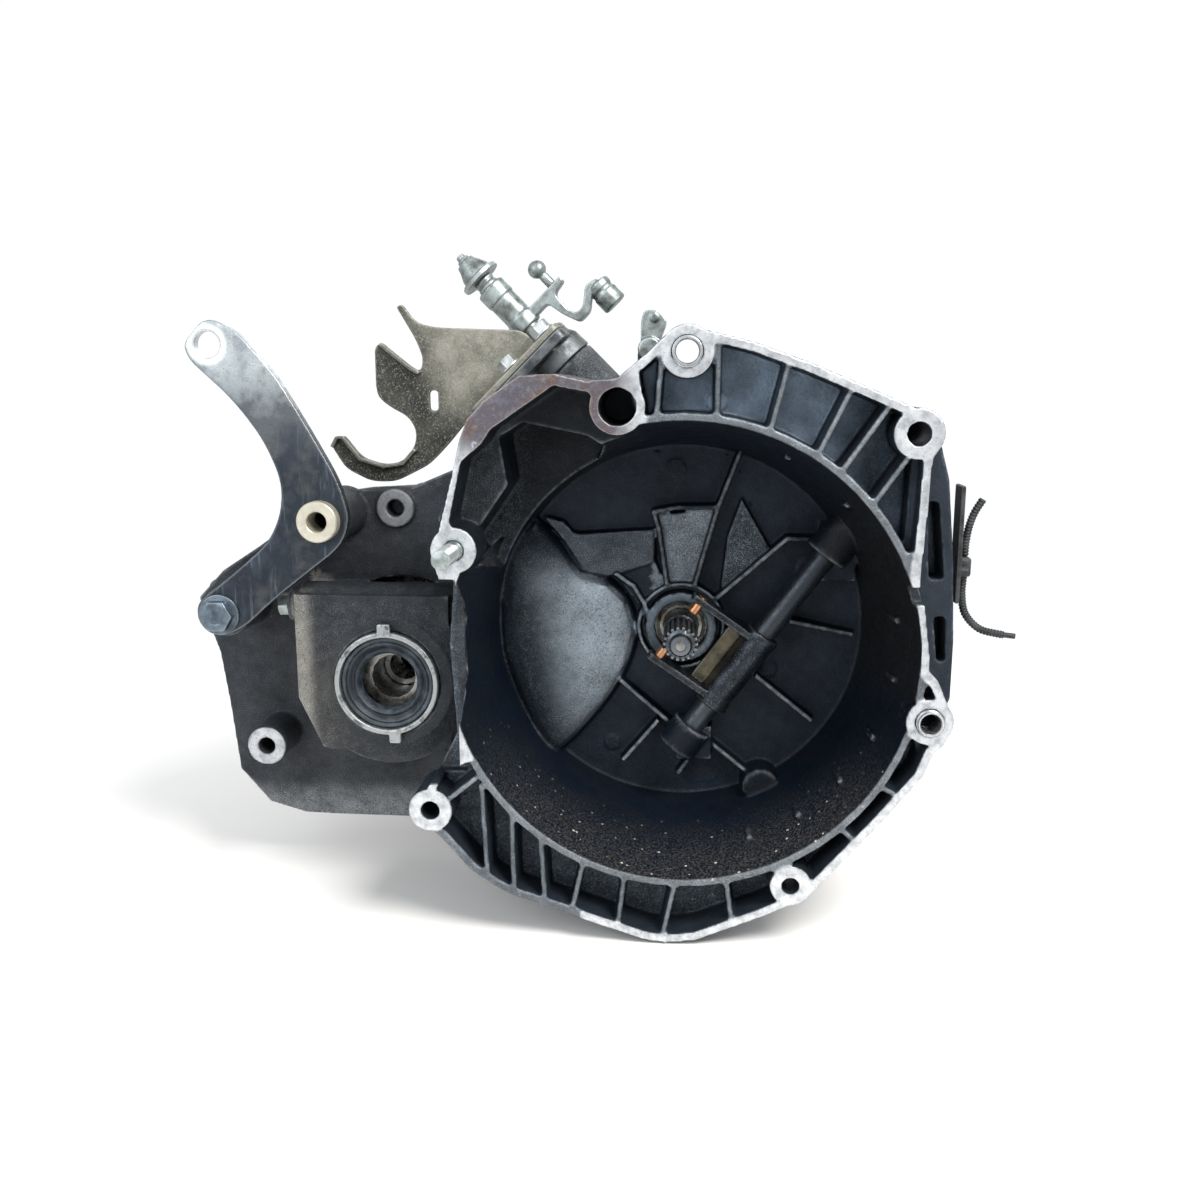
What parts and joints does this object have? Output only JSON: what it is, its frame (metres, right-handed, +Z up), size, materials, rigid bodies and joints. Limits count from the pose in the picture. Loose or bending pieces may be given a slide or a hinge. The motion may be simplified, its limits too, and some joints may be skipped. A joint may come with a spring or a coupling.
{
  "type": "manual transmission",
  "caption": "Transverse manual gearbox with an open clutch bell, release fork, mount arm, cable bracket and selector turret, holding its gears, synchronisers and differential.",
  "frame": {"origin": "on the input shaft's axis, in the plane of the engine flange", "axes": "-Y points from the flange to the engine, +Z up, +X to the right when looking into the bell"},
  "size_m": [0.5513, 0.4, 0.4415],
  "materials": {
    "bell_housing": "die-cast aluminium darkened by oil and clutch dust, bright on its machined faces",
    "gear_case": "die-cast aluminium, oily and dusty",
    "end_cover": "die-cast aluminium, oily and dusty",
    "input_bearing_front": "machined steel with a thin film of oil",
    "input_bearing_rear": "machined steel with a thin film of oil",
    "output_bearing_front": "machined steel with a thin film of oil",
    "output_bearing_rear": "machined steel with a thin film of oil",
    "differential_bearing_left": "machined steel with a thin film of oil",
    "differential_bearing_right": "machined steel with a thin film of oil",
    "differential_ring": "steel ring, rusty with a bright worn edge",
    "differential_seal_left": "oily black rubber",
    "differential_seal_right": "oily black rubber",
    "dowel_sleeve_top": "machined steel with a thin film of oil",
    "dowel_sleeve_right": "machined steel with a thin film of oil",
    "flange_stud": "zinc-plated fastener, greyed",
    "mount_arm": "dark rolled steel with a galvanised upper end",
    "arm_spacer": "yellowed zinc plating",
    "arm_bolt": "zinc-plated fastener, greyed",
    "cross_plug": "zinc-plated fastener, greyed",
    "cable_bracket": "plated sheet filmed with dried road dust, bright where the edges are worn",
    "bracket_bolt_left": "zinc-plated fastener, greyed",
    "bracket_bolt_right": "zinc-plated fastener, greyed",
    "selector_turret": "zinc plating gone dull",
    "relay_bracket": "dark phosphated steel",
    "conduit_clip": "black moulded nylon",
    "conduit_long": "ribbed black conduit, greyed by dust",
    "conduit_short": "ribbed black conduit, greyed by dust",
    "input_shaft": "machined steel with a thin film of oil",
    "input_gear_3": "machined steel with a thin film of oil",
    "input_gear_4": "machined steel with a thin film of oil",
    "input_gear_5": "machined steel with a thin film of oil",
    "output_shaft": "machined steel with a thin film of oil",
    "driven_gear_1": "machined steel with a thin film of oil",
    "driven_gear_2": "machined steel with a thin film of oil",
    "driven_gear_3": "machined steel with a thin film of oil",
    "driven_gear_4": "machined steel with a thin film of oil",
    "driven_gear_5": "machined steel with a thin film of oil",
    "sleeve_12": "machined steel with a thin film of oil",
    "shift_fork_12": "machined steel with a thin film of oil",
    "sleeve_34": "machined steel with a thin film of oil",
    "shift_fork_34": "machined steel with a thin film of oil",
    "sleeve_5": "machined steel with a thin film of oil",
    "shift_fork_5": "machined steel with a thin film of oil",
    "reverse_idler": "machined steel with a thin film of oil",
    "ring_gear": "machined steel with a thin film of oil",
    "differential_case": "machined steel with a thin film of oil",
    "differential_pin": "machined steel with a thin film of oil",
    "side_gear_left": "machined steel with a thin film of oil",
    "side_gear_right": "machined steel with a thin film of oil",
    "planet_gear_upper": "machined steel with a thin film of oil",
    "planet_gear_lower": "machined steel with a thin film of oil",
    "selector_cap": "zinc plating gone dull",
    "selector_shaft": "machined steel with a thin film of oil",
    "shift_lever": "zinc plating gone dull",
    "relay_lever": "zinc plating gone dull",
    "release_shaft": "dark forged steel with clutch dust",
    "release_fork": "dark forged steel with clutch dust",
    "fork_pad_upper": "copper-coloured pads, scuffed",
    "fork_pad_lower": "copper-coloured pads, scuffed",
    "release_lever": "dark forged steel with clutch dust"
  },
  "bodies": {
    "housing": {"bell_housing": "bell_housing", "gear_case": "gear_case", "end_cover": "end_cover", "input_bearing_front": "input_bearing_front", "input_bearing_rear": "input_bearing_rear", "output_bearing_front": "output_bearing_front", "output_bearing_rear": "output_bearing_rear", "differential_bearing_left": "differential_bearing_left", "differential_bearing_right": "differential_bearing_right", "differential_ring": "differential_ring", "differential_seal_left": "differential_seal_left", "differential_seal_right": "differential_seal_right", "dowel_sleeve_top": "dowel_sleeve_top", "dowel_sleeve_right": "dowel_sleeve_right", "flange_stud": "flange_stud", "mount_arm": "mount_arm", "arm_spacer": "arm_spacer", "arm_bolt": "arm_bolt", "cross_plug": "cross_plug", "cable_bracket": "cable_bracket", "bracket_bolt_left": "bracket_bolt_left", "bracket_bolt_right": "bracket_bolt_right", "selector_turret": "selector_turret", "relay_bracket": "relay_bracket", "conduit_clip": "conduit_clip", "conduit_long": "conduit_long", "conduit_short": "conduit_short"},
    "input": {"input_shaft": "input_shaft", "input_gear_3": "input_gear_3", "input_gear_4": "input_gear_4", "input_gear_5": "input_gear_5"},
    "output": {"output_shaft": "output_shaft"},
    "driven_1": {"driven_gear_1": "driven_gear_1"},
    "driven_2": {"driven_gear_2": "driven_gear_2"},
    "driven_3": {"driven_gear_3": "driven_gear_3"},
    "driven_4": {"driven_gear_4": "driven_gear_4"},
    "driven_5": {"driven_gear_5": "driven_gear_5"},
    "synchro_12": {"sleeve_12": "sleeve_12"},
    "rail_12": {"shift_fork_12": "shift_fork_12"},
    "synchro_34": {"sleeve_34": "sleeve_34"},
    "rail_34": {"shift_fork_34": "shift_fork_34"},
    "synchro_5": {"sleeve_5": "sleeve_5"},
    "rail_5": {"shift_fork_5": "shift_fork_5"},
    "idler": {"reverse_idler": "reverse_idler"},
    "differential": {"ring_gear": "ring_gear", "differential_case": "differential_case", "differential_pin": "differential_pin"},
    "side_left": {"side_gear_left": "side_gear_left"},
    "side_right": {"side_gear_right": "side_gear_right"},
    "planet_upper": {"planet_gear_upper": "planet_gear_upper"},
    "planet_lower": {"planet_gear_lower": "planet_gear_lower"},
    "select_slide": {"selector_cap": "selector_cap"},
    "selector": {"selector_shaft": "selector_shaft", "shift_lever": "shift_lever"},
    "relay": {"relay_lever": "relay_lever"},
    "release": {"release_shaft": "release_shaft", "release_fork": "release_fork", "fork_pad_upper": "fork_pad_upper", "fork_pad_lower": "fork_pad_lower", "release_lever": "release_lever"}
  },
  "joints": [
    {"name": "input_spin", "type": "hinge", "parent": "housing", "child": "input", "pos_m": [0, 0, 0], "axis": [0, 1, 0], "continuous": true},
    {"name": "driven_1_spin", "type": "hinge", "parent": "housing", "child": "driven_1", "pos_m": [-0.075, 0, -0.0123], "axis": [0, 1, 0], "continuous": true},
    {"name": "driven_2_spin", "type": "hinge", "parent": "housing", "child": "driven_2", "pos_m": [-0.075, 0, -0.0123], "axis": [0, 1, 0], "continuous": true},
    {"name": "driven_3_spin", "type": "hinge", "parent": "housing", "child": "driven_3", "pos_m": [-0.075, 0, -0.0123], "axis": [0, 1, 0], "continuous": true},
    {"name": "driven_4_spin", "type": "hinge", "parent": "housing", "child": "driven_4", "pos_m": [-0.075, 0, -0.0123], "axis": [0, 1, 0], "continuous": true},
    {"name": "driven_5_spin", "type": "hinge", "parent": "housing", "child": "driven_5", "pos_m": [-0.075, 0, -0.0123], "axis": [0, 1, 0], "continuous": true},
    {"name": "idler_spin", "type": "hinge", "parent": "housing", "child": "idler", "pos_m": [0.006, 0, -0.052], "axis": [0, 1, 0], "continuous": true},
    {"name": "differential_spin", "type": "hinge", "parent": "housing", "child": "differential", "pos_m": [-0.196, 0.138, -0.032], "axis": [0, 1, 0], "continuous": true},
    {"name": "output_spin", "type": "hinge", "parent": "housing", "child": "output", "pos_m": [-0.075, 0, -0.0123], "axis": [0, 1, 0], "continuous": true},
    {"name": "side_left_spin", "type": "hinge", "parent": "differential", "child": "side_left", "pos_m": [-0.196, 0.138, -0.032], "axis": [0, 1, 0], "continuous": true},
    {"name": "side_right_spin", "type": "hinge", "parent": "differential", "child": "side_right", "pos_m": [-0.196, 0.138, -0.032], "axis": [0, 1, 0], "continuous": true},
    {"name": "planet_upper_spin", "type": "hinge", "parent": "differential", "child": "planet_upper", "pos_m": [-0.196, 0.138, -0.032], "axis": [0, 0, 1], "continuous": true},
    {"name": "planet_lower_spin", "type": "hinge", "parent": "differential", "child": "planet_lower", "pos_m": [-0.196, 0.138, -0.032], "axis": [0, 0, 1], "continuous": true},
    {"name": "select", "type": "slide", "parent": "housing", "child": "select_slide", "axis": [-0.7071, 0, 0.7071], "range_m": [-0.006, 0.006]},
    {"name": "shift_rotate", "type": "hinge", "parent": "select_slide", "child": "selector", "pos_m": [-0.097, 0.14, 0.191], "axis": [-0.7071, 0, 0.7071], "range_deg": [-12, 12]},
    {"name": "relay_swing", "type": "hinge", "parent": "housing", "child": "relay", "pos_m": [-0.024, 0.12, 0.188], "axis": [0, 1, 0], "range_deg": [-14, 14]},
    {"name": "rail_34_slide", "type": "slide", "parent": "housing", "child": "rail_34", "axis": [0, 1, 0], "range_m": [-0.0055, 0.0055]},
    {"name": "synchro_34_slide", "type": "slide", "parent": "output", "child": "synchro_34", "axis": [0, 1, 0], "range_m": [-0.0055, 0.0055]},
    {"name": "rail_12_slide", "type": "slide", "parent": "housing", "child": "rail_12", "axis": [0, 1, 0], "range_m": [-0.0055, 0.0055]},
    {"name": "synchro_12_slide", "type": "slide", "parent": "output", "child": "synchro_12", "axis": [0, 1, 0], "range_m": [-0.0055, 0.0055]},
    {"name": "rail_5_slide", "type": "slide", "parent": "housing", "child": "rail_5", "axis": [0, 1, 0], "range_m": [-0.0055, 0.0055]},
    {"name": "synchro_5_slide", "type": "slide", "parent": "output", "child": "synchro_5", "axis": [0, 1, 0], "range_m": [-0.0055, 0.0055]},
    {"name": "release_swing", "type": "hinge", "parent": "housing", "child": "release", "pos_m": [0.0383, 0.088, -0.0277], "axis": [0.5868, 0, 0.8097], "range_deg": [0, 12]}
  ],
  "couplings": [
    {"joint": "driven_1_spin", "follows": "input_spin", "ratio": -0.29032},
    {"joint": "driven_2_spin", "follows": "input_spin", "ratio": -0.48148},
    {"joint": "driven_3_spin", "follows": "input_spin", "ratio": -0.77273},
    {"joint": "driven_4_spin", "follows": "input_spin", "ratio": -1.0526},
    {"joint": "driven_5_spin", "follows": "input_spin", "ratio": -1.2941},
    {"joint": "output_spin", "follows": "differential_spin", "ratio": -3.8333},
    {"joint": "side_right_spin", "follows": "side_left_spin", "ratio": -1},
    {"joint": "planet_upper_spin", "follows": "side_left_spin", "ratio": 1.4},
    {"joint": "planet_lower_spin", "follows": "side_left_spin", "ratio": -1.4},
    {"joint": "relay_swing", "follows": "select", "rad_per_m": 30},
    {"joint": "rail_34_slide", "follows": "shift_rotate", "m_per_rad": 0.02626},
    {"joint": "synchro_34_slide", "follows": "shift_rotate", "m_per_rad": 0.02626},
    {"joint": "synchro_12_slide", "follows": "rail_12_slide", "ratio": 1},
    {"joint": "synchro_5_slide", "follows": "rail_5_slide", "ratio": 1}
  ]
}
